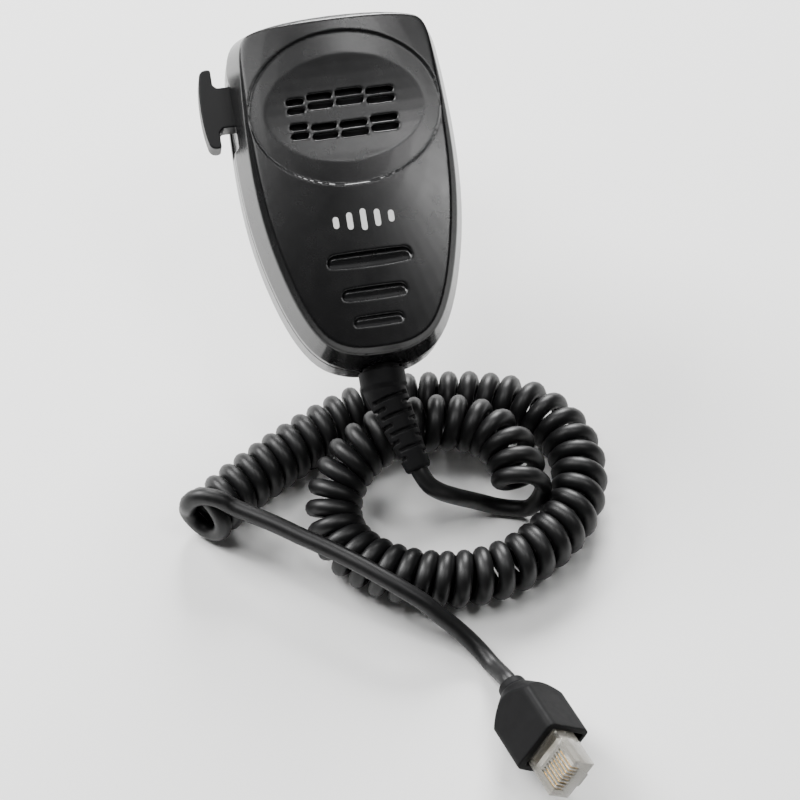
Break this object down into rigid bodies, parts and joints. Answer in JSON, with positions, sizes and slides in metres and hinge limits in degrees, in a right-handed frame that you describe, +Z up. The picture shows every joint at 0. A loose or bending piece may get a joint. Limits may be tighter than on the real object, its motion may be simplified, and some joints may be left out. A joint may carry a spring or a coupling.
{
  "type": "radio hand microphone",
  "caption": "Palm microphone for a mobile two-way radio, with a side push-to-talk button, a hang-up stud on its back, a coiled cord and a clear modular plug in a moulded hood.",
  "frame": {"origin": "centre of the outer flat face of the hang-up stud, which holds the part up", "axes": "+X to the case's right as seen from its front, with the push-to-talk button on the -X side; +Y level, the way the case's top end points; +Z up. The case is pitched 25 degrees about X, its top end up, and the cord lies on a level surface 41 mm below the origin."},
  "size_m": [0.1132, 0.2066, 0.0876],
  "materials": {
    "case": "black injection-moulded ABS, satin to semi-gloss",
    "cloth": "black acoustic cloth",
    "rubber": "black moulded PVC, matte",
    "cord": "black polyurethane cord jacket, semi-matte",
    "can": "drawn aluminium can",
    "board": "green solder mask on glass-epoxy",
    "switch": "black moulded nylon",
    "plunger": "red acetal",
    "connector": "natural nylon housing",
    "steel": "zinc-plated steel",
    "plated_steel": "nickel-plated turned steel",
    "gold": "gold-plated phosphor bronze",
    "clear": "clear polycarbonate"
  },
  "bodies": {
    "case": {"front_shell": "case", "rear_shell": "case", "case_screw_1": "steel", "case_screw_2": "steel", "case_screw_3": "steel", "case_screw_4": "steel", "hang_stud": "plated_steel", "stud_nut": "steel", "ground_lug": "steel", "grille_cloth": "cloth", "mic_capsule": "can", "mic_boot": "rubber", "circuit_board": "board", "switch_body": "switch", "wire_connector": "connector", "ptt_spring": "steel", "strain_relief": "rubber", "inner_lead": "cord", "cable_clamp": "switch", "clamp_screw_1": "steel", "clamp_screw_2": "steel", "coil": "cord", "lead_in": "cord", "lead_out": "cord", "plug_hood": "rubber", "plug_body": "clear", "plug_lead": "cord", "plug_contact_1": "gold", "plug_contact_2": "gold", "plug_contact_3": "gold", "plug_contact_4": "gold", "plug_contact_5": "gold", "plug_contact_6": "gold", "plug_contact_7": "gold", "plug_contact_8": "gold"},
    "button": {"ptt_button": "case"},
    "plunger": {"switch_plunger": "plunger"},
    "latch": {"plug_latch": "clear"}
  },
  "joints": [
    {"name": "ptt_press", "type": "slide", "parent": "case", "child": "button", "axis": [1, 0, 0], "range_m": [0, 0.0025], "stiffness_N_per_m": 500, "springref_m": -0.0025, "deforming": ["ptt_spring"]},
    {"name": "switch_travel", "type": "slide", "parent": "case", "child": "plunger", "axis": [1, 0, 0], "range_m": [0, 0.0025]},
    {"name": "latch_flex", "type": "hinge", "parent": "case", "child": "latch", "pos_m": [0.02873, -0.17803, -0.02846], "axis": [0.5852, 0.31, 0.7493], "range_deg": [0, 7], "stiffness_Nm_per_rad": 0.05, "springref_deg": -5.73}
  ],
  "couplings": [
    {"joint": "switch_travel", "follows": "ptt_press", "ratio": 1}
  ]
}
